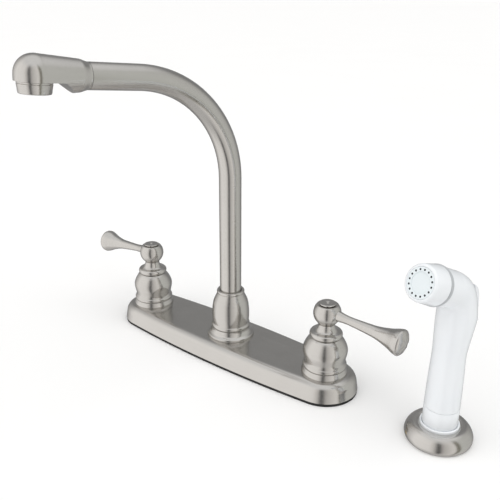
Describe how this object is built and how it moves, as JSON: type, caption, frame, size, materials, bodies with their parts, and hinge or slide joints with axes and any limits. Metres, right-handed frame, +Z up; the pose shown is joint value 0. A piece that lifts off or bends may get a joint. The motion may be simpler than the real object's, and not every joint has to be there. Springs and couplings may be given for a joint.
{
  "type": "kitchen faucet with side spray",
  "caption": "Deck-mounted kitchen faucet: high swivel spout, two quarter-turn lever handles on a long deck cover, and a trigger side spray in its own holder.",
  "frame": {"origin": "on the spout's swivel axis, at the sink deck plane under the base gasket", "axes": "+X along the deck cover to the user's right, towards the side spray; -Y towards the user; +Z up"},
  "size_m": [0.399, 0.1991, 0.3182],
  "materials": {
    "brushed_nickel": "satin brushed nickel plate, fine circular and lengthwise brush lines",
    "brass": "plain machined brass",
    "copper": "drawn copper tube",
    "ceramic_disc": "lapped alumina",
    "black_rubber": "matt black rubber",
    "steel": "stainless steel",
    "white_plastic": "gloss white moulded plastic",
    "grey_plastic": "grey moulded plastic",
    "acetal": "natural acetal"
  },
  "bodies": {
    "faucet_base": {"deck_cover": "brushed_nickel", "base_gasket": "black_rubber", "valve_body_hot": "brass", "valve_body_cold": "brass", "cross_tubes": "copper", "spout_post": "brass", "mounting_washers": "steel", "mounting_nuts": "grey_plastic", "cartridge_hot": "brass", "cartridge_cold": "brass", "cartridge_seals": "black_rubber", "fixed_discs": "ceramic_disc", "bonnet_ring_hot": "brushed_nickel", "bonnet_ring_cold": "brushed_nickel", "bonnet_hot": "brushed_nickel", "bonnet_cold": "brushed_nickel", "spout_collar_ring": "brushed_nickel", "spout_collar": "brushed_nickel", "swivel_bushing": "acetal", "diverter_body": "acetal", "diverter_cap": "acetal", "diverter_spring": "steel", "spray_flange": "brushed_nickel", "spray_holder": "white_plastic", "holder_washer": "steel", "holder_nut": "grey_plastic"},
    "spout": {"spout_tube": "brushed_nickel", "spout_sleeve": "brass", "spout_seals": "black_rubber", "spout_head": "brushed_nickel", "aerator_housing": "brushed_nickel", "aerator_screen": "acetal", "aerator_washer": "black_rubber"},
    "hot_handle": {"handle_hub_hot": "brushed_nickel", "lever_hot": "brushed_nickel", "handle_cap_hot": "brushed_nickel", "handle_screw_hot": "steel", "stem_hot": "brass", "moving_disc_hot": "ceramic_disc"},
    "cold_handle": {"handle_hub_cold": "brushed_nickel", "lever_cold": "brushed_nickel", "handle_cap_cold": "brushed_nickel", "handle_screw_cold": "steel", "stem_cold": "brass", "moving_disc_cold": "ceramic_disc"},
    "diverter": {"diverter_spool": "acetal"},
    "hose_end": {"hose_stub": "brass"},
    "side_spray": {"spray_body": "white_plastic", "spray_ferrule": "white_plastic", "spray_washer": "black_rubber", "spray_ring": "grey_plastic", "spray_cap": "white_plastic", "nozzle_disc": "white_plastic", "trigger_pin": "steel", "valve_seat": "acetal", "poppet_spring": "steel"},
    "spray_trigger": {"trigger": "white_plastic"},
    "spray_valve": {"poppet": "brass", "poppet_seal": "black_rubber"}
  },
  "joints": [
    {"name": "spout_swivel", "type": "hinge", "parent": "faucet_base", "child": "spout", "pos_m": [0, 0, 0], "axis": [0, 0, 1], "continuous": true},
    {"name": "hot_handle_turn", "type": "hinge", "parent": "faucet_base", "child": "hot_handle", "pos_m": [-0.1016, 0, 0], "axis": [0, 0, 1], "range_deg": [0, 90]},
    {"name": "cold_handle_turn", "type": "hinge", "parent": "faucet_base", "child": "cold_handle", "pos_m": [0.1016, 0, 0], "axis": [0, 0, 1], "range_deg": [-90, 0]},
    {"name": "diverter_travel", "type": "slide", "parent": "faucet_base", "child": "diverter", "axis": [0, 0, 1], "range_m": [0, 0.0018], "stiffness_N_per_m": 60, "springref_m": -0.001, "deforming": ["diverter_spring"]},
    {"name": "sprayer_lift", "type": "slide", "parent": "faucet_base", "child": "hose_end", "axis": [0, 0, 1], "range_m": [0, 0.12]},
    {"name": "sprayer_turn", "type": "hinge", "parent": "hose_end", "child": "side_spray", "pos_m": [0.2032, 0, 0], "axis": [0, 0, 1], "continuous": true},
    {"name": "trigger_press", "type": "hinge", "parent": "side_spray", "child": "spray_trigger", "pos_m": [0.20534, 0.0075, 0.1213], "axis": [-0.9617, 0.274, 0], "range_deg": [0, 6]},
    {"name": "poppet_travel", "type": "slide", "parent": "side_spray", "child": "spray_valve", "axis": [-0.274, -0.9617, 0], "range_m": [0, 0.00125], "stiffness_N_per_m": 300, "springref_m": -0.001, "deforming": ["poppet_spring"]}
  ],
  "couplings": [
    {"joint": "trigger_press", "follows": "poppet_travel", "rad_per_m": 83.333}
  ]
}
